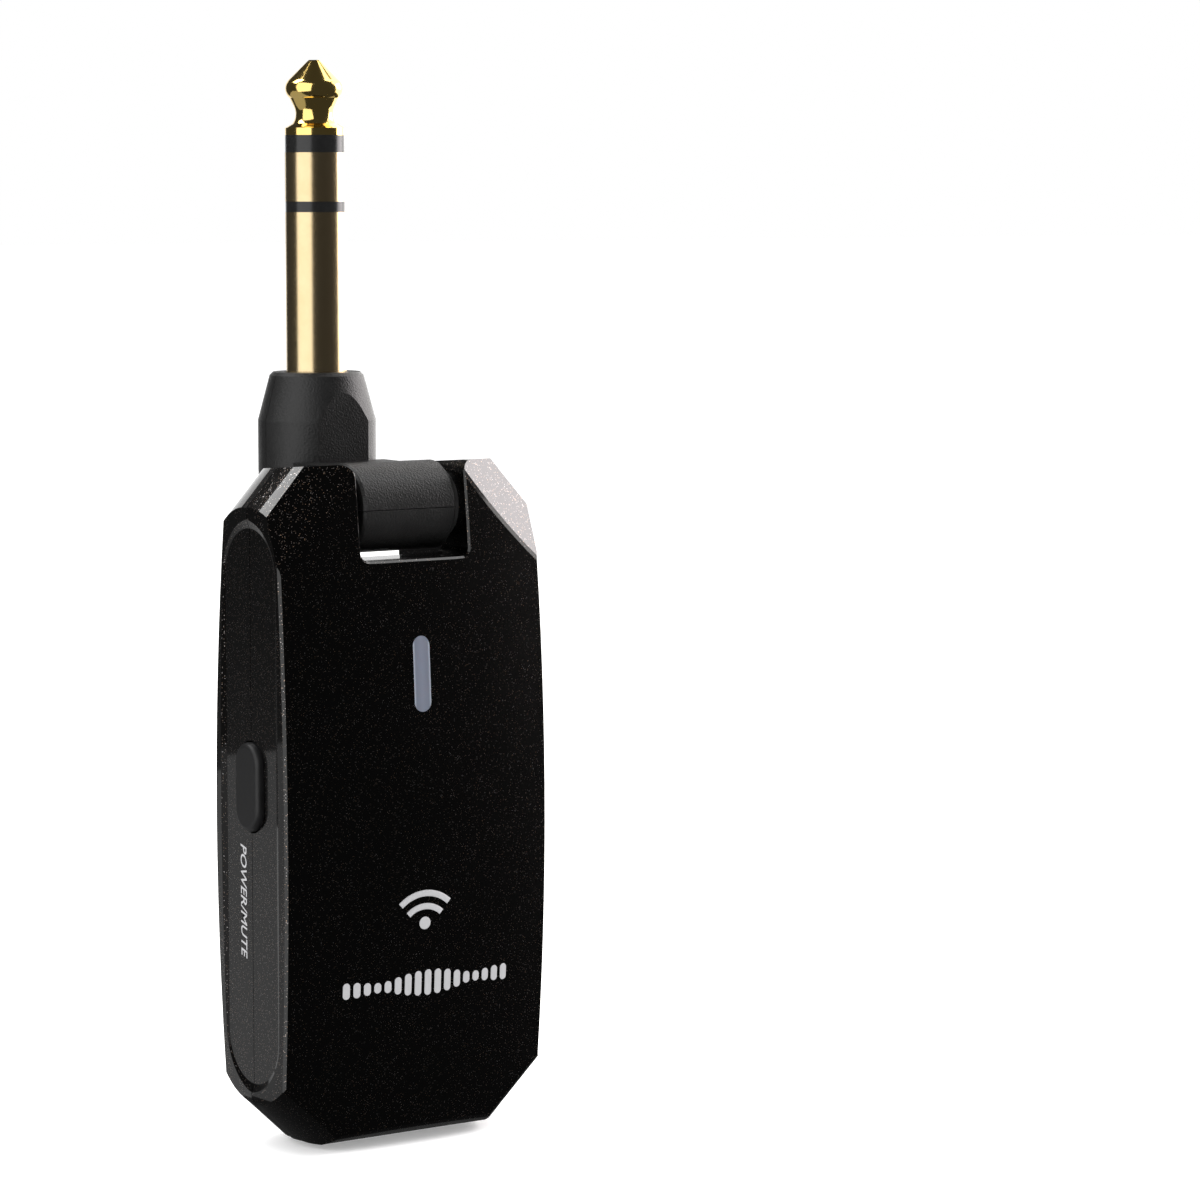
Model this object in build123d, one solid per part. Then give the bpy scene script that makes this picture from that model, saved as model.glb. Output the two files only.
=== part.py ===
from build123d import *
import math
import os

# A pocket radio transmitter that plugs into a guitar's jack socket, with its plug on a
# folding neck. Millimetres. The origin is the middle of the neck's shoulder, where the plug
# leaves it. +Z runs along the plug to its tip, -Y is the front and +X is the viewer's right.

# Plug, from the shoulder up.
plug_radius = 3.175
sleeve_root_radius = 3.575
sleeve_groove_radius = 2.95
sleeve_step = 0.3
insulator_radius = 3.13
sleeve_top = 16.7
ring_bottom = 17.8
ring_top = 22.9
tip_bottom = 24.7
tip_length = 7.8
rod_radius = 0.75
ring_bore = 1.1
sleeve_insulator_bore = 1.6
sleeve_bore = 2.1

# Neck: a collar behind the housing, an arm, and the hinge barrel in the housing's notch.
collar_top_radius = 4.95
collar_radius = 6.2
collar_cone_length = 5.05
collar_bottom = -12.05
collar_flat_y = -5.4
collar_wall = 1.2
collar_edge = 0.35
neck_cavity_radius = 4.3
barrel_y = -14.1
barrel_z = -13.3
barrel_radius = 4.6
barrel_half = 5.5
barrel_cavity_radius = 3.3
barrel_end_wall = 1.3
arm_floor = 1.0
arm_channel_height = 1.25
arm_drop = 0.5
arm_channel_half = 3.0
parting_gap = 0.07

# Housing: an eight-sided slab with parabolic crowned faces, widest at the seam.
front_y = -21.15
back_y = -4.35
seam_y = (front_y + back_y) / 2
crown_across = 100.0
crown_along = 290.0
crown_mid_z = -46.0
half_width = 16.1
side_bow = 0.3
top_z = -8.0
bottom_z = -78.95
bottom_bow = 0.5
top_cut_x = 4.75
top_cut_z = 4.85
top_front_edge = (0, -18.6, -8.5)
top_fall = 4.5
bottom_cut_x = 5.24
bottom_cut_z = 5.13
bottom_corner_radius = 1.6
corner_barrel_radius = 11.0
foot_barrel_radius = 13.0
wall_draft = 3.0
wall = 1.5
side_wall = 2.1
facet_tilt = 30.0
facet_turn = 44.0
facet_point = (10.9, -18.54, -14.0)
edge_break = 0.25
seam_gap = 0.08

# Notch for the hinge, and the slot behind it that takes the folded neck.
notch_half = 6.45
notch_floor = -18.35
notch_floor_radius = 0.9
notch_top_radius = 1.4
ear_top_z = -8.6
notch_break = 0.2
slot_bottom = -35.0
slot_front_y = -14.3
liner = 1.2

# Long shallow recess in each side.
recess_length = 57.0
recess_width = 10.0
recess_mid_z = -43.45
recess_depth = 0.6
recess_slope = 70.0

# Key in the left side, and the switch behind it.
key_z = -41.3
key_length = 9.2
key_width = 4.8
key_clearance = 0.15
key_proud = 0.75
key_flange = 0.9
key_flange_lip = 0.8
key_travel = 0.4

# Status light in the front.
light_z = -30.0
light_length = 7.8
light_width = 2.0

# Board, battery and what they carry.
board_front_y = -17.0
board_thickness = 1.0
board_back_y = board_front_y + board_thickness
board_half = 11.5
board_top = -21.6
board_bottom = -73.0
controller = (0, -43.5, 5, 5, 0.8)
converter = (-6.5, -38, 4, 4, 0.8)
charger = (5.5, -38.5, 3, 3, 0.7)
crystal = (-6.8, -46, 3.2, 2.5, 0.6)
chip_places = (controller, converter, charger, crystal)
battery_box = (19.0, 5.6, 31.4)
battery_centre = (1.6, -11.9, -53.2)

# Hinge stubs and friction washers.
stub_radius = 2.2
stub_bore = 1.2
stub_inner_x = 3.6
stub_flange_radius = 2.75
stub_flange = 1.0
running_gap = 0.05
washer_radius = 3.5
washer_gap = 0.15

# Screws.
screw_radius = 0.8
screw_head_radius = 1.45
screw_head = 1.0
screw_places = ((-10.7, -26.5), (10.7, -26.5), (-9.4, -71.8), (9.4, -71.8))
boss_radius = 2.0
screw_tip_y = -18.0
board_screw_places = ((-9.2, -34.0), (9.2, -48.0))
board_post_radius = 1.6
board_screw_radius = 0.6

over = 120.0


def block(low, high):
    """A box from its lowest corner to its highest."""
    size = [h - l for l, h in zip(low, high)]
    middle = [(h + l) / 2 for l, h in zip(low, high)]
    return Pos(*middle) * Box(*size)


def rod(start, end, radius):
    """A round bar between two points."""
    line = Vector(*end) - Vector(*start)
    return extrude(Plane(origin=start, z_dir=line) * Circle(radius), line.length)


def tube(start, end, radius, bore):
    """A round tube between two points."""
    line = Vector(*end) - Vector(*start)
    section = Circle(radius) - Circle(bore)
    return extrude(Plane(origin=start, z_dir=line) * section, line.length)


def both_sides(shape):
    """A shape and its mirror image across the middle plane."""
    return shape + mirror(shape, Plane.YZ)


def seen_from_front(y, z=0):
    """A plane across the object at y, with X to the right, Z up and its normal to the front."""
    return Plane(origin=(0, y, z), x_dir=(1, 0, 0), z_dir=(0, -1, 0))


def seen_from_left(x, y, z):
    """A plane across the object at x, with its own X along +Z and its normal to the left."""
    return Plane(origin=(x, y, z), x_dir=(0, 0, 1), z_dir=(-1, 0, 0))


# ---- plug ----


def plug_sleeve():
    """The long contact, with a groove and a flange that the neck grips."""
    flange_bottom = -3.0
    body = tube((0, 0, 0), (0, 0, sleeve_top), plug_radius, sleeve_bore)
    groove = tube((0, 0, -sleeve_step), (0, 0, 0), sleeve_groove_radius, sleeve_bore)
    root = tube((0, 0, -collar_wall), (0, 0, -sleeve_step), sleeve_root_radius, sleeve_bore)
    flange = tube((0, 0, flange_bottom), (0, 0, -collar_wall), neck_cavity_radius - 0.05, sleeve_bore)
    return body + groove + root + flange


def sleeve_insulator():
    """The lower black band and the tube that carries it down the sleeve."""
    band = tube((0, 0, sleeve_top), (0, 0, ring_bottom), insulator_radius, sleeve_insulator_bore)
    lining = tube((0, 0, -3.6), (0, 0, sleeve_top), sleeve_bore, sleeve_insulator_bore)
    return band + lining


def plug_ring():
    """The middle contact and its inner tube."""
    band = tube((0, 0, ring_bottom), (0, 0, ring_top), plug_radius, ring_bore)
    stem = tube((0, 0, -4.8), (0, 0, ring_bottom), sleeve_insulator_bore, ring_bore)
    return band + stem


def ring_insulator():
    """The upper black band and the tube inside the middle contact."""
    band = tube((0, 0, ring_top), (0, 0, tip_bottom), insulator_radius, rod_radius)
    lining = tube((0, 0, -4.8), (0, 0, ring_top), ring_bore, rod_radius)
    return band + lining


def plug_tip():
    """The tip contact: skirt, hollowed waist, round shoulder and cone, on the centre rod."""
    rod_end = (0, -6.0)
    rod_foot = (rod_radius, -6.0)
    rod_head = (rod_radius, tip_bottom)
    base = (insulator_radius, tip_bottom)
    skirt = (insulator_radius, tip_bottom + 0.75)
    flare = (2.35, tip_bottom + 1.2)
    waist = (2.02, tip_bottom + 2.0)
    throat = (2.2, tip_bottom + 3.0)
    under_shoulder = (2.62, tip_bottom + 3.85)
    shoulder = (3.08, tip_bottom + 4.8)
    cone_foot = (2.72, tip_bottom + 5.75)
    nose = (0.78, tip_bottom + tip_length - 0.16)
    nose_edge = (0.6, tip_bottom + tip_length)
    top = (0, tip_bottom + tip_length)
    outline = (
        Polyline(rod_end, rod_foot, rod_head, base, skirt, flare)
        + ThreePointArc(flare, waist, throat)
        + Line(throat, under_shoulder)
        + ThreePointArc(under_shoulder, shoulder, cone_foot)
        + Polyline(cone_foot, nose, nose_edge, top, rod_end)
    )
    return revolve(Plane.XZ * make_face(outline), Axis.Z)


def plug_terminals():
    """Three solder lugs, one on the inner end of each contact."""
    sleeve_lug = block((-0.8, 3.2, -6.6), (0.8, 3.6, -3.0))
    ring_lug = block((sleeve_insulator_bore, -0.7, -8.0), (2.0, 0.7, -3.7))
    tip_lug = block((-1.15, -0.6, -9.0), (-rod_radius, 0.6, -4.95))
    return Compound(children=[sleeve_lug, ring_lug, tip_lug])


# ---- neck ----


def neck_blank():
    """Collar, arm and barrel as one hollow shape, before it is parted."""
    profile = Polyline(
        (0, 0),
        (collar_top_radius - collar_edge, 0),
        (collar_top_radius, -collar_edge),
        (collar_radius, -collar_cone_length),
        (collar_radius, collar_bottom + 0.8),
        (collar_radius - 0.8, collar_bottom),
        (0, collar_bottom),
        close=True,
    )
    collar = revolve(Plane.XZ * make_face(profile), Axis.Z)
    collar -= block((-over, -over, -over), (over, collar_flat_y, over))
    barrel = rod((-barrel_half, barrel_y, barrel_z), (barrel_half, barrel_y, barrel_z), barrel_radius)
    barrel = chamfer(barrel.edges().filter_by(GeomType.CIRCLE), 0.25)
    arm_top = barrel_z + barrel_radius - arm_drop
    arm = block((-barrel_half, barrel_y, collar_bottom), (barrel_half, collar_flat_y + 1.0, arm_top))
    solid = collar + arm + barrel

    well = rod((0, 0, collar_bottom + arm_floor), (0, 0, -collar_wall), neck_cavity_radius)
    mouth = rod((0, 0, -collar_wall), (0, 0, -sleeve_step), sleeve_root_radius + 0.02)
    neck_hole = rod((0, 0, -sleeve_step), (0, 0, 1), sleeve_groove_radius + 0.02)
    channel_low = collar_bottom + arm_floor
    channel = block(
        (-arm_channel_half, barrel_y, channel_low),
        (arm_channel_half, 0, channel_low + arm_channel_height),
    )
    inner = barrel_half - barrel_end_wall
    hollow = rod((-inner, barrel_y, barrel_z), (inner, barrel_y, barrel_z), barrel_cavity_radius)
    bore = rod((-over, barrel_y, barrel_z), (over, barrel_y, barrel_z), stub_radius + running_gap)
    return solid - well - mouth - neck_hole - channel - hollow - bore


def upper_region(grow):
    """The space of the neck's upper piece, larger all round by grow."""
    step_z = collar_bottom + arm_floor
    ahead = block((-over, -over, barrel_z - grow), (over, barrel_y + grow, over))
    behind = block((-over, barrel_y - 1, step_z - grow), (over, grow, over))
    return ahead + behind


def neck_upper():
    """Front of the collar, roof of the arm and top of the barrel."""
    return neck_blank() & upper_region(-parting_gap / 2)


def neck_lower():
    """Back of the collar, floor of the arm and underside of the barrel."""
    return neck_blank() - upper_region(parting_gap / 2)


def neck_cable():
    """The wires from the lugs, along the arm and out through the hollow left stub."""
    cable_radius = 0.55
    level = collar_bottom + arm_floor + arm_channel_height / 2
    path = FilletPolyline(
        (0.3, 1.8, -8.6),
        (0.3, 1.8, level),
        (0, barrel_y, level),
        (-2.4, barrel_y, barrel_z),
        (-8.4, barrel_y, barrel_z),
        radius=0.75,
    )
    return sweep(Plane(origin=path @ 0, z_dir=path % 0) * Circle(cable_radius), path)


# ---- housing ----


def crowned_block(inset):
    """All that lies between the crowned front and back faces, each moved in by inset."""
    reach_x = 30.0
    reach_z = 60.0
    end_x = reach_x**2 / (2 * crown_across)
    end_z = reach_z**2 / (2 * crown_along)
    columns = ((-reach_x, end_x), (0, -end_x), (reach_x, end_x))
    rows = ((-reach_z, end_z), (0, -end_z), (reach_z, end_z))
    grid = [[(x, front_y + inset + a + b, crown_mid_z + z) for z, b in rows] for x, a in columns]
    face = Face.make_bezier_surface(grid)
    front = extrude(face, 40, dir=(0, 1, 0))
    return front & mirror(front, Plane.XZ.offset(-seam_y))


def outline_points(inset):
    """Corners of the eight-sided outline on the right, from the top down, moved in by inset."""
    slant = 0.42 * inset
    top = top_z - inset
    bottom = bottom_z + inset
    side = half_width - inset
    return {
        "top": (half_width - top_cut_x - slant, top),
        "shoulder": (side - side_bow, top_z - top_cut_z - slant),
        "middle": (side, crown_mid_z),
        "hip": (side - side_bow, bottom_z + bottom_cut_z + slant),
        "bottom": (half_width - bottom_cut_x - slant, bottom + bottom_bow),
        "toe": (0, bottom),
    }


def outline_face(inset):
    """The eight-sided outline with bowed sides and foot."""
    p = outline_points(inset)
    left = {name: (-x, z) for name, (x, z) in p.items()}
    edges = (
        Line(left["top"], p["top"])
        + Line(p["top"], p["shoulder"])
        + ThreePointArc(p["shoulder"], p["middle"], p["hip"])
        + Line(p["hip"], p["bottom"])
        + ThreePointArc(p["bottom"], p["toe"], left["bottom"])
        + Line(left["bottom"], left["hip"])
        + ThreePointArc(left["hip"], left["middle"], left["shoulder"])
        + Line(left["shoulder"], left["top"])
    )
    face = make_face(edges)
    feet = face.vertices().sort_by(Axis.Y)[:4]
    return fillet(feet, bottom_corner_radius)


def slab(inset, draft):
    """The eight-sided slab, drawn both ways from the seam."""
    half = extrude(seen_from_front(seam_y) * outline_face(inset), 14, taper=draft)
    return (half + mirror(half, Plane.XZ.offset(-seam_y))) & crowned_block(inset)


def barrel_round(start, end, radius):
    """What is taken off the wall between two outline points so that it bulges at the seam."""
    reach = 20.0
    start = Vector(start[0], seam_y, start[1])
    end = Vector(end[0], seam_y, end[1])
    along = (end - start).normalized()
    outward = Vector(-along.Z, 0, along.X)
    centre = (start + end) * 0.5 - outward * radius
    keep = rod(tuple(centre - along * reach), tuple(centre + along * reach), radius)
    plane = Plane(origin=tuple(centre), x_dir=tuple(along), z_dir=tuple(outward))
    return extrude(plane * Rectangle(2 * reach, 2 * reach), reach) - keep


def top_corner_round():
    """The barrel rounding of the right top corner."""
    p = outline_points(0)
    return barrel_round(p["top"], p["shoulder"], corner_barrel_radius)


def bottom_corner_round():
    """The barrel rounding of the right bottom corner."""
    p = outline_points(0)
    return barrel_round(p["hip"], p["bottom"], corner_barrel_radius)


def foot_round():
    """The barrel rounding of the foot."""
    return barrel_round((1, bottom_z), (-1, bottom_z), foot_barrel_radius)


def top_slope():
    """What is taken off the top so that it falls away to the back."""
    normal = (0, math.sin(math.radians(top_fall)), math.cos(math.radians(top_fall)))
    return extrude(Plane(origin=top_front_edge, z_dir=normal) * Rectangle(over, over), over)


def corner_facet():
    """The half space beyond the flat facet on a front top corner."""
    tilt = math.radians(facet_tilt)
    turn = math.radians(facet_turn)
    sideways = math.sin(tilt) * math.cos(turn)
    normal = (sideways, -math.cos(tilt), math.sin(tilt) * math.sin(turn))
    return extrude(Plane(origin=facet_point, z_dir=normal) * Rectangle(30, 30), 20)


def side_recess():
    """The long shallow hollow in a side, with sloping banks."""
    bank = recess_depth * math.tan(math.radians(recess_slope))
    mouth = SlotOverall(recess_length + 2 * bank, recess_width + 2 * bank)
    start = Plane(origin=(half_width, seam_y, recess_mid_z), x_dir=(0, 0, 1), z_dir=(-1, 0, 0))
    hollow = extrude(start * mouth, recess_depth, taper=recess_slope)
    lid = extrude(start * mouth, -3)
    return hollow + lid


def notch():
    """The opening for the barrel, with rounded floor corners and rounded ear tops."""
    rise = ear_top_z - notch_floor
    cut = Pos(0, notch_floor + (rise + 10) / 2) * Rectangle(2 * notch_half, rise + 10)
    cut = fillet(cut.vertices().sort_by(Axis.Y)[:2], notch_floor_radius)
    r = notch_top_radius
    corner = Pos(notch_half + r / 2, ear_top_z - r / 2 + 0.2) * Rectangle(r, r + 0.4)
    corner -= Pos(notch_half + r, ear_top_z - r) * Circle(r)
    cut += corner + mirror(corner, Plane.YZ)
    return extrude(seen_from_front(0) * cut, 40)


def notch_bevel():
    """What is taken off the front edge of the notch, all round its floor and sides."""
    reach = notch_half + notch_top_radius
    plate = block((-reach, -over, notch_floor - 1), (reach, seam_y - 1, top_z)) & crowned_block(0)
    plate -= notch()
    rim = crowned_face(plate, 0).edges()
    rim = rim.filter_by(lambda edge: edge.center().Z > notch_floor - 0.5)
    rim = rim.filter_by(lambda edge: abs(edge.center().X) < reach - 0.1)
    return plate - chamfer(rim, notch_break)


def slot():
    """The space behind the front partition where the folded neck lies."""
    return block((-notch_half, slot_front_y, slot_bottom), (notch_half, over, over))


def housing_blank():
    """The outside of the closed housing."""
    body = slab(0, wall_draft)
    body -= both_sides(top_corner_round())
    body -= both_sides(bottom_corner_round())
    body -= foot_round()
    body -= both_sides(corner_facet())
    body -= top_slope()
    for which in (0, -1):
        body = chamfer(crowned_face(body, which).edges(), edge_break)
    body -= both_sides(side_recess())
    return body - notch() - notch_bevel() - slot()


def crowned_face(body, which):
    """The front face, which 0, or the back face, which -1, of the housing."""
    crowned = body.faces().filter_by(GeomType.BEZIER)
    return crowned.sort_by(SortBy.AREA)[-2:].sort_by(Axis.Y)[which]


def cavity():
    """The room inside the shells, clear of the notch and the slot's lining."""
    room = slab(wall, 0) & block((side_wall - half_width, -over, -over), (half_width - side_wall, over, 0))
    room -= both_sides(corner_liner())
    room -= Pos(0, 0, wall) * foot_round()
    room -= Pos(0, 0, -wall) * top_slope()
    room -= block(
        (-notch_half - liner, -over, notch_floor - liner),
        (notch_half + liner, over, over),
    )
    room -= block(
        (-notch_half - liner, slot_front_y - liner, slot_bottom - liner),
        (notch_half + liner, over, over),
    )
    for x, z in screw_places:
        room -= rod((x, -over, z), (x, over, z), boss_radius)
    for x, z in board_screw_places:
        room -= rod((x, -over, z), (x, board_front_y, z), board_post_radius)
    return room


def corner_liner():
    """Keeps the walls of the right corners thick enough behind their facet and bulges."""
    behind_facet = Pos(-1.15, 1.3, -1.1) * corner_facet()
    behind_top = Pos(-1.0, 0, -1.0) * top_corner_round()
    behind_bottom = Pos(-1.0, 0, 1.0) * bottom_corner_round()
    return behind_facet + behind_top + behind_bottom


def key_hole():
    """The opening for the key in the left wall."""
    hole = SlotOverall(key_length + 2 * key_clearance, key_width + 2 * key_clearance)
    return extrude(seen_from_left(-half_width + side_wall + 2, seam_y, key_z) * hole, 8)


def light_hole(grow):
    """The upright opening for the light's lens."""
    hole = SlotOverall(light_length + grow, light_width + grow, rotation=90)
    return extrude(seen_from_front(-16, light_z) * hole, 10)


def stub_holes():
    """The round holes in the two inner ear walls for the hinge stubs."""
    return rod((-8.5, barrel_y, barrel_z), (8.5, barrel_y, barrel_z), stub_radius)


def front_shell():
    """The front half of the case."""
    shell = housing_blank() - cavity() - key_hole() - light_hole(0) - stub_holes()
    shell -= block((-over, seam_y - seam_gap / 2, -over), (over, over, over))
    shell -= block(
        (-notch_half - liner, slot_front_y - liner, slot_bottom - liner),
        (notch_half + liner, 0, notch_floor - liner),
    )
    for x, z in screw_places:
        shell -= rod((x, screw_tip_y, z), (x, over, z), screw_radius)
    for x, z in board_screw_places:
        shell -= rod((x, board_front_y - 1.6, z), (x, over, z), board_screw_radius)
    return shell


def rear_shell():
    """The back half of the case, with the lined slot for the folded neck."""
    shell = housing_blank() - cavity() - key_hole() - stub_holes()
    shell -= block((-over, -over, -over), (over, seam_y + seam_gap / 2, over))
    tub = block(
        (-notch_half - liner, slot_front_y - liner, slot_bottom - liner),
        (notch_half + liner, seam_y + 1, notch_floor - liner),
    )
    shell += tub - slot()
    for x, z in screw_places:
        head_y = rear_face_y(x, z) - screw_head - 0.25
        shell -= rod((x, -over, z), (x, over, z), screw_radius)
        shell -= rod((x, head_y, z), (x, over, z), screw_head_radius + 0.1)
    return shell


def rear_face_y(x, z):
    """Where the crowned back face lies at x and z."""
    return back_y - x**2 / (2 * crown_across) - (z - crown_mid_z) ** 2 / (2 * crown_along)


def case_screws():
    """Four cross-recessed screws that close the case from the back."""
    screws = []
    for x, z in screw_places:
        seat_y = rear_face_y(x, z) - screw_head - 0.25
        head = rod((x, seat_y, z), (x, seat_y + screw_head, z), screw_head_radius)
        shank = rod((x, screw_tip_y + 0.3, z), (x, seat_y, z), screw_radius)
        top = seat_y + screw_head
        cross = block((x - 0.8, top - 0.5, z - 0.16), (x + 0.8, top + 1, z + 0.16))
        cross += block((x - 0.16, top - 0.5, z - 0.8), (x + 0.16, top + 1, z + 0.8))
        screws.append(head + shank - cross)
    return Compound(children=screws)


def power_key():
    """The key: a domed bar through the wall, with a flange that keeps it in."""
    wall_in = -half_width + side_wall
    base = seen_from_left(wall_in + 0.1, seam_y, key_z)
    bar = extrude(base * SlotOverall(key_length, key_width), key_proud + side_wall - recess_depth + 0.1)
    rim = bar.faces().sort_by(Axis.X)[0].edges()
    bar = fillet(rim, 0.6)
    plate = SlotOverall(key_length + 2 * key_flange_lip, key_width + 2 * key_flange_lip)
    flange = extrude(seen_from_left(wall_in + 0.1 + key_flange, seam_y, key_z) * plate, key_flange)
    return bar + flange


def tact_switch():
    """The sideways switch on the back of the board, and its plunger."""
    flange_in = -half_width + side_wall + 0.1 + key_flange
    plunger_x = flange_in + key_travel + 0.05
    body = block((plunger_x + 0.8, board_back_y, key_z - 3), (plunger_x + 3.6, board_back_y + 4.9, key_z + 3))
    plunger = rod((plunger_x + 0.8, seam_y, key_z), (plunger_x, seam_y, key_z), 1.1)
    return body + plunger


def light_lens():
    """The frosted light window, flush with the front, with a ledge behind it."""
    inner_y = front_y + wall
    pin = light_hole(-0.03) & crowned_block(0.02)
    pin &= block((-over, -over, -over), (over, inner_y + 0.8, over))
    ledge = SlotOverall(light_length + 1.6, light_width + 1.6, rotation=90)
    start = seen_from_front(inner_y + 1.5, light_z)
    return pin + extrude(start * ledge, 0.7)


def light_gasket():
    """The soft black frame that keeps the light inside its window."""
    start = seen_from_front(board_front_y, light_z)
    depth = board_front_y - (front_y + wall + 1.5)
    frame_shape = RectangleRounded(4.6, 10.4, 0.8) - SlotOverall(8.0, 2.4, rotation=90)
    return extrude(start * frame_shape, depth)


def status_led():
    """Two light chips inside the gasket."""
    chips = []
    for z in (light_z - 2, light_z + 2):
        low = (-0.8, board_front_y - 0.6, z - 0.8)
        chips.append(block(low, (0.8, board_front_y, z + 0.8)))
    return Compound(children=chips)


def main_board():
    """The circuit board behind the front, with its screw holes."""
    outline = RectangleRounded(2 * board_half, board_top - board_bottom, 2.0)
    start = seen_from_front(board_back_y, (board_top + board_bottom) / 2)
    board = extrude(start * outline, board_thickness)
    for x, z in screw_places:
        board -= rod((x, -over, z), (x, over, z), boss_radius + 0.2)
    for x, z in board_screw_places:
        board -= rod((x, -over, z), (x, over, z), 0.8)
    return board


def board_screws():
    """Two small screws that hold the board to the front shell."""
    screws = []
    for x, z in board_screw_places:
        shank = rod((x, board_front_y - 1.4, z), (x, board_back_y, z), board_screw_radius)
        head = rod((x, board_back_y, z), (x, board_back_y + 0.8, z), 1.2)
        slot_cut = block((x - 1.3, board_back_y + 0.45, z - 0.15), (x + 1.3, board_back_y + 1, z + 0.15))
        screws.append(shank + head - slot_cut)
    return Compound(children=screws)


def radio_shield():
    """The folded tin cover over the radio."""
    height = 1.5
    can = block((-7.5, board_front_y - height, -66), (7.5, board_front_y, -51))
    room = block((-7.3, board_front_y - height + 0.2, -65.8), (7.3, board_front_y, -51.2))
    return can - room


def board_chips():
    """Controller, converter, charger and crystal on the board's front."""
    chips = []
    for x, z, width, height, thickness in chip_places:
        low = (x - width / 2, board_front_y - thickness, z - height / 2)
        chips.append(block(low, (x + width / 2, board_front_y, z + height / 2)))
    return Compound(children=chips)


def antenna():
    """The ceramic chip aerial at the foot of the board."""
    return block((-4, board_front_y - 1.1, -70.6), (4, board_front_y, -68.6))


def battery():
    """The flat pouch cell."""
    cell = Pos(*battery_centre) * Box(*battery_box)
    return fillet(cell.edges().filter_by(Axis.Z), 1.6)


def battery_pad():
    """The foam sheet between the cell and the back."""
    x, y, z = battery_centre
    back = y + battery_box[1] / 2
    return block((x - 7.5, back, z - 13), (x + 6.0, back + 1.0, z + 13))


def battery_leads():
    """Two wires from the foot of the cell to the board."""
    x, y, z = battery_centre
    foot = z - battery_box[2] / 2
    wires = []
    for offset in (-1.5, 1.5):
        end = (x + offset, board_back_y, foot - 1.6)
        path = FilletPolyline((x + offset, y, foot), (x + offset, y, foot - 1.6), end, radius=0.9)
        wires.append(sweep(Plane(origin=path @ 0, z_dir=path % 0) * Circle(0.4), path))
    return Compound(children=wires)


def board_cable():
    """The wires from the left hinge stub down to the board."""
    path = FilletPolyline(
        (-8.8, barrel_y, barrel_z),
        (-9.9, barrel_y, barrel_z),
        (-9.9, barrel_y, -22.6),
        (-9.9, board_back_y, -22.6),
        radius=0.6,
    )
    return sweep(Plane(origin=path @ 0, z_dir=path % 0) * Circle(0.5), path)


def hinge_stub(side):
    """A hollow hinge stub, flanged behind the inner ear wall."""
    wall_back = notch_half + liner
    start = (side * stub_inner_x, barrel_y, barrel_z)
    middle = (side * wall_back, barrel_y, barrel_z)
    end = (side * (wall_back + stub_flange), barrel_y, barrel_z)
    return tube(start, end, stub_radius, stub_bore) + tube(middle, end, stub_flange_radius, stub_bore)


def friction_washers():
    """A washer in each gap beside the barrel, which holds the neck where it is put."""
    washers = []
    for side in (-1, 1):
        start = (side * (barrel_half + washer_gap), barrel_y, barrel_z)
        end = (side * notch_half, barrel_y, barrel_z)
        washers.append(tube(start, end, washer_radius, stub_radius))
    return Compound(children=washers)


makers = {
    "front_shell": front_shell,
    "rear_shell": rear_shell,
    "case_screws": case_screws,
    "light_lens": light_lens,
    "light_gasket": light_gasket,
    "status_led": status_led,
    "main_board": main_board,
    "board_screws": board_screws,
    "board_chips": board_chips,
    "radio_shield": radio_shield,
    "antenna": antenna,
    "tact_switch": tact_switch,
    "battery": battery,
    "battery_pad": battery_pad,
    "battery_leads": battery_leads,
    "board_cable": board_cable,
    "hinge_stub_left": lambda: hinge_stub(-1),
    "hinge_stub_right": lambda: hinge_stub(1),
    "friction_washers": friction_washers,
    "power_key": power_key,
    "neck_upper": neck_upper,
    "neck_lower": neck_lower,
    "neck_cable": neck_cable,
    "plug_sleeve": plug_sleeve,
    "sleeve_insulator": sleeve_insulator,
    "plug_ring": plug_ring,
    "ring_insulator": ring_insulator,
    "plug_tip": plug_tip,
    "plug_terminals": plug_terminals,
}

os.makedirs("parts", exist_ok=True)
for node, make in makers.items():
    export_step(make(), f"parts/{node}.step")
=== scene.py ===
import math

import bpy
import numpy as np
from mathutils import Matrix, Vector


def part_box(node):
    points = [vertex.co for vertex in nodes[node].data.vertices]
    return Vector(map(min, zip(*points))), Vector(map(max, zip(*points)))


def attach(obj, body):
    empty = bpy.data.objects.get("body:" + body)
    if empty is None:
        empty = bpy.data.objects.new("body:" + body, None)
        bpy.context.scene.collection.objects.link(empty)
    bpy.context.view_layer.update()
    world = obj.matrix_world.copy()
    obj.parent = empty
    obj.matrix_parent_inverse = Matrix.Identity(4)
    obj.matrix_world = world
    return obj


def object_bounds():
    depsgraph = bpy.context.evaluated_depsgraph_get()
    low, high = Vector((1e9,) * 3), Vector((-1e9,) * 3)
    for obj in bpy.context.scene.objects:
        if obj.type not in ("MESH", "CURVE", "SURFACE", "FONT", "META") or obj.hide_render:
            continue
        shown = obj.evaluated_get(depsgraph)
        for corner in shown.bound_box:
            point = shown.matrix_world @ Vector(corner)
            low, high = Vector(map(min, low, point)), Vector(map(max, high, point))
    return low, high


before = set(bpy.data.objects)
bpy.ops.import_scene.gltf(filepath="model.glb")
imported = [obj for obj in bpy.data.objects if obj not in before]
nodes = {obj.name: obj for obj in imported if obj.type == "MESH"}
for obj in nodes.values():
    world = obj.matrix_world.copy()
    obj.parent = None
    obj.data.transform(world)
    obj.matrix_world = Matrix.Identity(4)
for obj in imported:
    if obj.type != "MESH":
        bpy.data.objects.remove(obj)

# A pocket radio transmitter with its plug on a folding neck.
# -Y is the front, +Z runs to the plug's tip, and 0 is the middle of the neck's shoulder.
mm = 0.001
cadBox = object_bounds()
print("frame:", len(nodes), "nodes")


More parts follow.
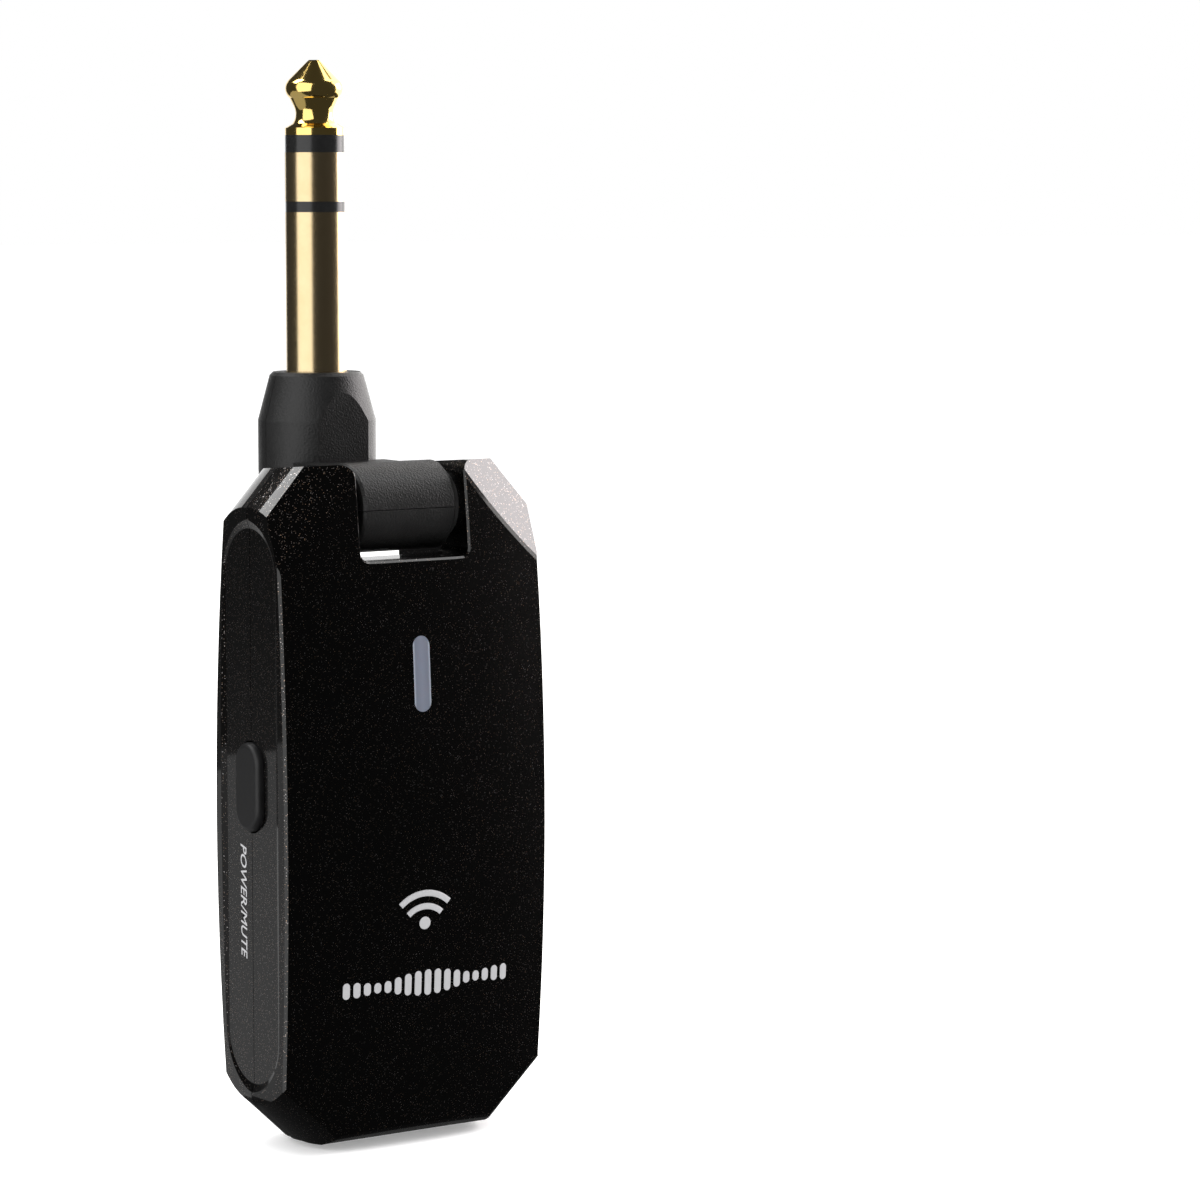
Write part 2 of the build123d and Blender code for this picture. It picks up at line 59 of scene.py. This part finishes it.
class Wire:
    # an output socket; the operators add the Math nodes that they need
    def __init__(self, finish, socket):
        self.finish = finish
        self.socket = socket

    def math(self, operation, *values):
        return self.finish.node("ShaderNodeMath", {"operation": operation}, dict(enumerate(values)))

    def also(self, output):  # another output of the same node
        return Wire(self.finish, self.socket.node.outputs[output])

    def __add__(self, other):
        return self.math("ADD", self, other)

    def __radd__(self, other):
        return self.math("ADD", other, self)

    def __sub__(self, other):
        return self.math("SUBTRACT", self, other)

    def __rsub__(self, other):
        return self.math("SUBTRACT", other, self)

    def __mul__(self, other):
        return self.math("MULTIPLY", self, other)

    def __rmul__(self, other):
        return self.math("MULTIPLY", other, self)

    def __gt__(self, other):
        return self.math("GREATER_THAN", self, other)

    def __lt__(self, other):
        return self.math("LESS_THAN", self, other)


class Finish:
    # a material being made; place is the Object coordinate in millimetres
    def __init__(self, name):
        self.material = bpy.data.materials.new(name)
        self.material.use_nodes = True
        self.tree = self.material.node_tree
        self.tree.nodes.clear()
        coordinate = self.node("ShaderNodeTexCoord", output="Object")
        self.place = self.node("ShaderNodeVectorMath", {"operation": "SCALE"}, {0: coordinate, "Scale": 1 / mm})

    def node(self, kind, settings=None, inputs=None, output=0):
        made = self.tree.nodes.new(kind)
        for name, value in (settings or {}).items():
            if name == "stops":
                setStops(made.color_ramp, value)
            else:
                setattr(made, name, value)
        for name, value in (inputs or {}).items():
            if isinstance(value, Wire):
                self.tree.links.new(value.socket, made.inputs[name])
            else:
                made.inputs[name].default_value = value
        return Wire(self, made.outputs[output])

    def noise(self, scale, detail=2.0, place=None):  # scale in cells per millimetre
        inputs = {"Vector": place or self.place, "Scale": scale, "Detail": detail}
        return self.node("ShaderNodeTexNoise", inputs=inputs)

    def ramp(self, value, stops):  # stops are (position, colour) pairs
        return self.node("ShaderNodeValToRGB", {"stops": stops}, {0: value})

    def level(self, value, low, high):  # value 0 to 1 spread over low to high
        return value * (high - low) + low

    def mixColour(self, factor, first, second):
        return self.node("ShaderNodeMix", {"data_type": "RGBA"}, {0: factor, 6: first, 7: second}, output=2)

    def vector(self, operation, first, second):
        return self.node("ShaderNodeVectorMath", {"operation": operation}, {0: first, 1: second})

    def scaled(self, vector, factor):
        return self.node("ShaderNodeVectorMath", {"operation": "SCALE"}, {0: vector, "Scale": factor})

    def bump(self, height, depth):  # depth in millimetres
        return self.node("ShaderNodeBump", inputs={"Height": height, "Distance": depth * mm, "Strength": 1.0})

    def surface(self, inputs):
        shader = self.node("ShaderNodeBsdfPrincipled", inputs=inputs)
        end = self.tree.nodes.new("ShaderNodeOutputMaterial")
        self.tree.links.new(shader.socket, end.inputs["Surface"])
        return self.material


def setStops(ramp, stops):
    while len(ramp.elements) < len(stops):
        ramp.elements.new(1.0)
    for element, (position, colour) in zip(ramp.elements, stops):
        element.position = position
        element.color = colour


def grey(level):
    return (level, level, level, 1.0)


def tint(red, green, blue):
    return (red, green, blue, 1.0)


def caseLacquer():
    # black lacquer over fine metal flakes, each flake turned its own way, under a clear coat
    look = {"flakeSize": 0.12, "share": 0.18, "turn": 0.32, "base": tint(0.006, 0.0055, 0.005),
            "silver": tint(0.5, 0.49, 0.5), "bronze": tint(0.42, 0.27, 0.17), "flakeReach": 0.42,
            "dimmest": 0.2, "dustScale": 0.35, "smooth": 0.3, "rough": 0.42, "coatRoughness": 0.035}
    f = Finish("caseLacquer")
    cells = f.node("ShaderNodeTexVoronoi", inputs={"Vector": f.place, "Scale": 1 / look["flakeSize"]})
    random = cells.also("Color")
    parts = f.node("ShaderNodeSeparateXYZ", inputs={0: random})
    flake = (parts < look["share"]) * (cells < look["flakeReach"])
    metal = f.mixColour(parts.also("Y"), look["silver"], look["bronze"])
    shine = flake * f.level(parts.also("Z"), look["dimmest"], 1.0)
    colour = f.mixColour(shine, look["base"], metal)
    facing = f.node("ShaderNodeNewGeometry", output="Normal")
    leaning = f.vector("SUBTRACT", random, (0.5, 0.5, 0.5))
    turned = f.vector("ADD", facing, f.scaled(leaning, flake * look["turn"]))
    normal = f.node("ShaderNodeVectorMath", {"operation": "NORMALIZE"}, {0: turned})
    dust = f.noise(look["dustScale"], 3.0)
    return f.surface({"Base Color": colour, "Metallic": 1.0, "Normal": normal,
                      "Roughness": f.level(dust, look["smooth"], look["rough"]),
                      "Coat Weight": 1.0, "Coat Roughness": look["coatRoughness"], "Coat IOR": 1.5})


def neckPlastic():
    # satin nylon with a fine spark-eroded grain
    look = {"colour": grey(0.006), "paler": grey(0.010), "grain": 5.0, "depth": 0.06,
            "wearScale": 0.5, "smooth": 0.36, "rough": 0.5}
    f = Finish("neckPlastic")
    grain = f.noise(look["grain"])
    wear = f.noise(look["wearScale"], 4.0)
    colour = f.mixColour(wear, look["colour"], look["paler"])
    return f.surface({"Base Color": colour, "Roughness": f.level(wear, look["smooth"], look["rough"]),
                      "Specular IOR Level": 0.5, "Normal": f.bump(grain, look["depth"])})


def keyRubber():
    # smooth dark grey silicone, with the faintest skin
    look = {"colour": tint(0.004, 0.004, 0.0044), "paler": tint(0.007, 0.007, 0.0076), "skinScale": 9.0,
            "depth": 0.003, "cloudScale": 0.8, "smooth": 0.42, "rough": 0.55}
    f = Finish("keyRubber")
    skin = f.noise(look["skinScale"])
    cloud = f.noise(look["cloudScale"], 3.0)
    colour = f.mixColour(cloud, look["colour"], look["paler"])
    return f.surface({"Base Color": colour, "Roughness": f.level(cloud, look["smooth"], look["rough"]),
                      "Normal": f.bump(skin, look["depth"])})


def turnedGold(name, look):
    # gold plate over a turned bar: fine rings round the plug and a little cloudiness
    f = Finish(name)
    along = (0.15, 0.15, look["rings"])  # a noise drawn out round the plug leaves only rings
    rings = f.noise(1.0, 3.0, f.vector("MULTIPLY", f.place, along))
    cloud = f.noise(0.5, 3.0)
    handling = f.noise(2.5, 4.0)
    colour = f.mixColour(cloud, look["colour"], look["deeper"])
    return f.surface({"Base Color": colour, "Metallic": 1.0, "Normal": f.bump(rings, look["depth"]),
                      "Roughness": f.level(handling, look["smooth"], look["rough"])})


def plugGold():
    return turnedGold("plugGold", {"colour": tint(0.83, 0.66, 0.40), "deeper": tint(0.74, 0.55, 0.30),
                                   "rings": 9.0, "depth": 0.0012, "smooth": 0.17, "rough": 0.27})


def tipGold():
    return turnedGold("tipGold", {"colour": tint(1.0, 0.76, 0.28), "deeper": tint(0.98, 0.66, 0.18),
                                  "rings": 5.0, "depth": 0.0006, "smooth": 0.09, "rough": 0.15})


def bandPlastic():
    # hard black moulding between the contacts
    look = {"colour": grey(0.006), "paler": grey(0.012), "cloudScale": 1.5, "smooth": 0.16, "rough": 0.28}
    f = Finish("bandPlastic")
    cloud = f.noise(look["cloudScale"], 3.0)
    colour = f.mixColour(cloud, look["colour"], look["paler"])
    return f.surface({"Base Color": colour, "Roughness": f.level(cloud, look["smooth"], look["rough"])})


def frostedLens():
    # milky bluish window, a little paler down its middle, with a painted highlight along its rim
    look = {"middle": tint(0.115, 0.128, 0.17), "side": tint(0.095, 0.108, 0.145), "rim": tint(0.24, 0.26, 0.31),
            "sideAt": 0.75, "rimAt": 0.95, "frostScale": 12.0, "depth": 0.002, "smooth": 0.45, "rough": 0.6}
    f = Finish("frostedLens")
    place = f.node("ShaderNodeSeparateXYZ", inputs={0: f.place})
    across = f.node("ShaderNodeMath", {"operation": "ABSOLUTE"}, {0: place})
    # the last stop paints a highlight on the lens's edge, palest at the rim
    stops = [(0.0, look["middle"]), (look["sideAt"], look["side"]), (look["rimAt"], look["rim"])]
    frost = f.noise(look["frostScale"])
    return f.surface({"Base Color": f.ramp(across, stops), "Normal": f.bump(frost, look["depth"]),
                      "Roughness": f.level(frost, look["smooth"], look["rough"]),
                      "Subsurface Weight": 0.15, "Subsurface Scale": 1 * mm})


def paleInk():
    # screen-printed grey ink, thinner in places
    look = {"colour": tint(0.31, 0.31, 0.32), "paler": tint(0.37, 0.37, 0.38), "grain": 8.0, "depth": 0.002,
            "smooth": 0.4, "rough": 0.6}
    f = Finish("paleInk")
    grain = f.noise(look["grain"], 3.0)
    return f.surface({"Base Color": f.mixColour(grain, look["colour"], look["paler"]),
                      "Roughness": f.level(grain, look["smooth"], look["rough"]),
                      "Normal": f.bump(grain, look["depth"])})


def blackScrew():
    # blackened steel
    look = {"colour": grey(0.03), "paler": grey(0.07), "grain": 6.0, "smooth": 0.25, "rough": 0.45}
    f = Finish("blackScrew")
    grain = f.noise(look["grain"], 3.0)
    colour = f.mixColour(grain, look["colour"], look["paler"])
    return f.surface({"Base Color": colour, "Metallic": 1.0,
                      "Roughness": f.level(grain, look["smooth"], look["rough"])})


def brightMetal(name, colour, deeper, rough):
    # rolled or turned metal with a fine cloudy grain
    f = Finish(name)
    grain = f.noise(3.0, 5.0)
    return f.surface({"Base Color": f.mixColour(grain, colour, deeper), "Metallic": 1.0,
                      "Roughness": f.level(grain, rough, rough + 0.15), "Normal": f.bump(grain, 0.002)})


def plainMoulding(name, colour, paler, rough, scale):
    # a moulded, printed or sleeved part with a mottled surface
    f = Finish(name)
    grain = f.noise(scale, 4.0)
    return f.surface({"Base Color": f.mixColour(grain, colour, paler), "Roughness": f.level(grain, rough, rough + 0.2),
                      "Normal": f.bump(grain, 0.006)})


def solderMask():
    # dark green mask over copper tracks, which show as a weave of lines
    look = {"green": tint(0.004, 0.035, 0.014), "paler": tint(0.006, 0.05, 0.02), "track": tint(0.02, 0.12, 0.05),
            "scale": 0.9, "trackWidth": 0.04, "stagger": 0.37, "depth": 0.02, "smooth": 0.22, "rough": 0.35}
    f = Finish("solderMask")
    tracks = f.node("ShaderNodeTexBrick", {"offset": look["stagger"]}, {
        "Vector": f.place, "Scale": look["scale"], "Mortar Size": look["trackWidth"],
        "Color1": look["green"], "Color2": look["paler"], "Mortar": look["track"]})
    return f.surface({"Base Color": tracks, "Normal": f.bump(tracks.also("Fac"), look["depth"]),
                      "Roughness": f.level(f.noise(4.0), look["smooth"], look["rough"])})


def wrappedCell():
    # silvery laminate with soft dents
    look = {"colour": tint(0.55, 0.56, 0.6), "deeper": tint(0.4, 0.41, 0.45), "dentScale": 0.5, "depth": 0.25,
            "smooth": 0.25, "rough": 0.45}
    f = Finish("wrappedCell")
    dents = f.noise(look["dentScale"], 3.0)
    colour = f.mixColour(dents, look["colour"], look["deeper"])
    return f.surface({"Base Color": colour, "Metallic": 1.0, "Normal": f.bump(dents, look["depth"]),
                      "Roughness": f.level(dents, look["smooth"], look["rough"])})


finishes = {
    "case": caseLacquer(),
    "neck": neckPlastic(),
    "key": keyRubber(),
    "plug_gold": plugGold(),
    "insulator": bandPlastic(),
    "lens": frostedLens(),
    "screw": blackScrew(),
    "steel": brightMetal("stubSteel", grey(0.5), grey(0.36), 0.25),
    "washer": plainMoulding("washerNylon", grey(0.02), grey(0.035), 0.3, 3.0),
    "tin": brightMetal("tinPlate", tint(0.7, 0.69, 0.66), tint(0.55, 0.54, 0.52), 0.22),
    "board": solderMask(),
    "chip": plainMoulding("chipResin", grey(0.012), grey(0.025), 0.35, 5.0),
    "ceramic_white": plainMoulding("ceramic", tint(0.7, 0.69, 0.64), tint(0.78, 0.77, 0.73), 0.4, 4.0),
    "soft_black": plainMoulding("foam", grey(0.008), grey(0.03), 0.7, 7.0),
    "cell": wrappedCell(),
    "wire": plainMoulding("wireJacket", tint(0.03, 0.004, 0.004), tint(0.06, 0.01, 0.01), 0.35, 2.0),
}
for name, node in nodes.items():
    slotName = node.data.materials[0].name.split(".")[0]
    node.data.materials[0] = finishes[slotName]
nodes["plug_tip"].data.materials[0] = tipGold()
print("finishes:", len(finishes) + 1)

marks = {"lift": 0.012, "thickness": 0.018, "crownAcross": 100.0, "crownAlong": 290.0, "crownMiddle": -46.0}
ink = paleInk()
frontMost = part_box("front_shell")[0].y / mm


def onFront(x, z):
    # the crowned front: y grows by x squared over 2R across and by z squared over 2R along
    y = frontMost + x**2 / (2 * marks["crownAcross"]) + (z - marks["crownMiddle"]) ** 2 / (2 * marks["crownAlong"])
    return np.stack([x, y - marks["lift"], z], axis=-1)


def inkPiece(name, grids, body="housing"):
    # each grid of points, rows by columns, becomes one closed thin patch of the piece
    points = []
    faces = []
    start = 0
    for grid in grids:
        rows, columns = grid.shape[:2]
        index = start + np.arange(rows * columns).reshape(rows, columns)
        corners = [index[:-1, :-1], index[:-1, 1:], index[1:, 1:], index[1:, :-1]]
        faces.append(np.stack(corners, axis=-1).reshape(-1, 4))
        points.append(grid.reshape(-1, 3))
        start += rows * columns
    points = np.concatenate(points) * mm
    faces = np.concatenate(faces)
    mesh = bpy.data.meshes.new(name)
    mesh.from_pydata(points.tolist(), [], faces.tolist())
    mesh.materials.append(ink)
    mesh.shade_smooth()
    piece = bpy.data.objects.new(name, mesh)
    bpy.context.scene.collection.objects.link(piece)
    skin = piece.modifiers.new("inkThickness", "SOLIDIFY")
    skin.thickness = marks["thickness"] * mm
    skin.offset = 1.0
    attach(piece, body)
    return piece


def pill(x, z, halfWidth, halfHeight, steps=10):
    # a square grid pressed into a disc, u sqrt(1 - v v / 2), then drawn out along z into a pill
    u, v = np.meshgrid(np.linspace(-1, 1, steps), np.linspace(-1, 1, steps))
    across = halfWidth * u * np.sqrt(1 - v**2 / 2)
    along = halfWidth * v * np.sqrt(1 - u**2 / 2)
    return onFront(x + across, z + along + np.sign(v) * (halfHeight - halfWidth))


def arc(x, z, inner, outer, spread, steps=28):
    # a ring sector about (x, z): radius runs from inner to outer, angle from -spread to spread
    angle, radius = np.meshgrid(np.radians(np.linspace(-spread, spread, steps)), np.linspace(inner, outer, 4))
    return onFront(x + radius * np.sin(angle), z + radius * np.cos(angle))


def signalMark():
    look = {"x": 0.0, "z": -55.65, "dot": 0.66, "bands": [(2.64, 3.28), (3.99, 4.65)], "spread": 42.0, "drop": 1.22}
    grids = [pill(look["x"], look["z"], look["dot"], look["dot"])]
    for inner, outer in look["bands"]:
        grids.append(arc(look["x"], look["z"] - look["drop"], inner, outer, look["spread"]))
    return inkPiece("signalMark", grids)


def waveMark():
    # a row of level bars, like a picture of sound
    look = {"x": 0.5, "z": -61.9, "count": 17, "reach": 9.5, "halfWidth": 0.4, "tallest": 1.35, "least": 0.15,
            "beat": 2.6, "fade": 0.45}
    place = np.linspace(-1, 1, look["count"])
    # height swells as |cos(beat p)| (1 - fade p p), with p from -1 to 1 along the row
    swell = np.abs(np.cos(look["beat"] * place)) * (1 - look["fade"] * place**2)
    halfHeights = look["halfWidth"] + (look["tallest"] - look["halfWidth"]) * np.maximum(swell, look["least"])
    across = look["x"] + place * look["reach"]
    grids = [pill(x, look["z"], look["halfWidth"], h) for x, h in zip(across, halfHeights)]
    return inkPiece("waveMark", grids)


def keyLabel():
    # the key's plain function label, reading down the side panel
    look = {"words": "POWER/MUTE", "size": 1.7, "weight": 0.012, "slope": 0.25, "length": 11.8, "top": -47.4,
            "y": -10.4, "lift": 0.01, "keyProud": 0.75}
    curve = bpy.data.curves.new("keyLabel", "FONT")
    curve.body = look["words"]
    curve.size = look["size"]
    curve.shear = look["slope"]
    curve.offset = look["weight"]
    curve.extrude = marks["thickness"] / 2
    curve.resolution_u = 3  # few points a bend, because the letters are tiny
    holder = bpy.data.objects.new("keyLabelText", curve)
    bpy.context.scene.collection.objects.link(holder)
    bpy.context.view_layer.update()
    mesh = bpy.data.meshes.new_from_object(holder)
    bpy.data.objects.remove(holder)
    flat = np.zeros(len(mesh.vertices) * 3, np.float32)
    mesh.vertices.foreach_get("co", flat)
    flat = flat.reshape(-1, 3)
    reading = flat[:, 0] - flat[:, 0].min()
    reading *= look["length"] / reading.max()
    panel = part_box("power_key")[0].x / mm + look["keyProud"]  # the key stands this proud of the panel
    solid = np.stack([panel - look["lift"] - flat[:, 2], look["y"] - flat[:, 1], look["top"] - reading], axis=-1)
    mesh.vertices.foreach_set("co", (solid * mm).astype(np.float32).ravel())
    mesh.materials.clear()
    mesh.materials.append(ink)
    mesh.update()
    piece = bpy.data.objects.new("keyLabel", mesh)
    bpy.context.scene.collection.objects.link(piece)
    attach(piece, "housing")
    return piece


signalMark()
waveMark()
keyLabel()
print("printed marks: 3")


def studioFloor():
    look = {"half": 6.0, "colour": 0.9, "glow": 0.3}
    low = cadBox[0].z
    half = look["half"]
    corners = [(-half, -half, low), (half, -half, low), (half, half, low), (-half, half, low)]
    mesh = bpy.data.meshes.new("studioFloor")
    mesh.from_pydata(corners, [], [(0, 1, 2, 3)])
    f = Finish("studioFloor")
    cloud = f.noise(0.002, 2.0)
    pale = f.mixColour(cloud, grey(look["colour"]), grey(1.03 * look["colour"]))
    mesh.materials.append(f.surface({"Base Color": pale, "Roughness": 1.0, "Specular IOR Level": 0.0,
                                     "Emission Color": pale, "Emission Strength": look["glow"]}))
    floor = bpy.data.objects.new("studioFloor", mesh)
    bpy.context.scene.collection.objects.link(floor)
    floor.visible_glossy = False  # the maker's black cloth lies in front of the object


def panelLight(name, azimuth, elevation, distance, width, height, glow, colour=(1.0, 1.0, 1.0)):
    # azimuth from the front, positive to the right; glow is the panel's brightness, so power is pi glow area
    target = Vector((0, -12 * mm, -35 * mm))  # about the middle of the object
    a = math.radians(azimuth)
    e = math.radians(elevation)
    away = Vector((math.sin(a) * math.cos(e), -math.cos(a) * math.cos(e), math.sin(e)))
    light = bpy.data.lights.new(name, "AREA")
    light.shape = "RECTANGLE"
    light.size = width
    light.size_y = height
    light.energy = math.pi * glow * width * height
    light.color = colour
    lamp = bpy.data.objects.new(name, light)
    bpy.context.scene.collection.objects.link(lamp)
    lamp.location = target + away * distance
    lamp.rotation_euler = (-away).to_track_quat("-Z", "Y").to_euler()
    lamp.visible_camera = False
    return lamp


def studioLights():
    # name, azimuth, elevation, distance, width, height, glow and colour
    panelLight("leftPanel", -76, 12, 0.6, 0.72, 0.9, 1.5)
    panelLight("rightPanel", 100, 14, 0.6, 0.9, 0.9, 2.6, (1.0, 0.97, 0.95))
    panelLight("facetPanel", 82, 18, 0.5, 0.26, 0.26, 4.2, (1.0, 0.93, 0.95))
    panelLight("upperRight", 78, 60, 0.6, 0.26, 0.2, 2.5)
    panelLight("upperLeft", -133, 51, 0.6, 0.22, 0.3, 5.5)
    panelLight("backdrop", 152, 0, 1.0, 1.0, 0.8, 1.0)
    card = panelLight("bounceCard", 0, -90, 0.0405, 0.42, 0.24, 0.33)
    card.location = (-0.08, 0.12, cadBox[0].z + 0.5 * mm)  # it lies on the floor behind, facing up
    card.rotation_euler = (math.pi, 0, 0)


def studioWorld():
    # white to the camera and as fill, dim to reflections, as with black cloth round the set
    look = {"white": 1.0, "dim": 0.04}
    world = bpy.data.worlds.new("studioWorld")
    world.use_nodes = True
    bpy.context.scene.world = world
    tree = world.node_tree
    background = tree.nodes["Background"]
    path = tree.nodes.new("ShaderNodeLightPath")
    level = tree.nodes.new("ShaderNodeMapRange")
    tree.links.new(path.outputs["Is Glossy Ray"], level.inputs["Value"])
    level.inputs["To Min"].default_value = look["white"]
    level.inputs["To Max"].default_value = look["dim"]
    tree.links.new(level.outputs[0], background.inputs["Strength"])
    background.inputs["Color"].default_value = grey(1.0)


def studioCamera():
    look = {"place": (-0.2164, -0.3670, 0.0191), "heading": 34.54, "down": 5.815, "lens": 121.07}
    data = bpy.data.cameras.new("studioCamera")
    data.lens = look["lens"]
    data.sensor_width = 36.0
    data.clip_start = 0.01
    data.clip_end = 50.0
    camera = bpy.data.objects.new("studioCamera", data)
    bpy.context.scene.collection.objects.link(camera)
    camera.location = look["place"]
    camera.rotation_euler = (math.radians(90 - look["down"]), 0, math.radians(-look["heading"]))
    bpy.context.scene.camera = camera


studioFloor()
studioLights()
studioWorld()
studioCamera()
bpy.context.scene.view_settings.view_transform = "Standard"
print("studio ready")
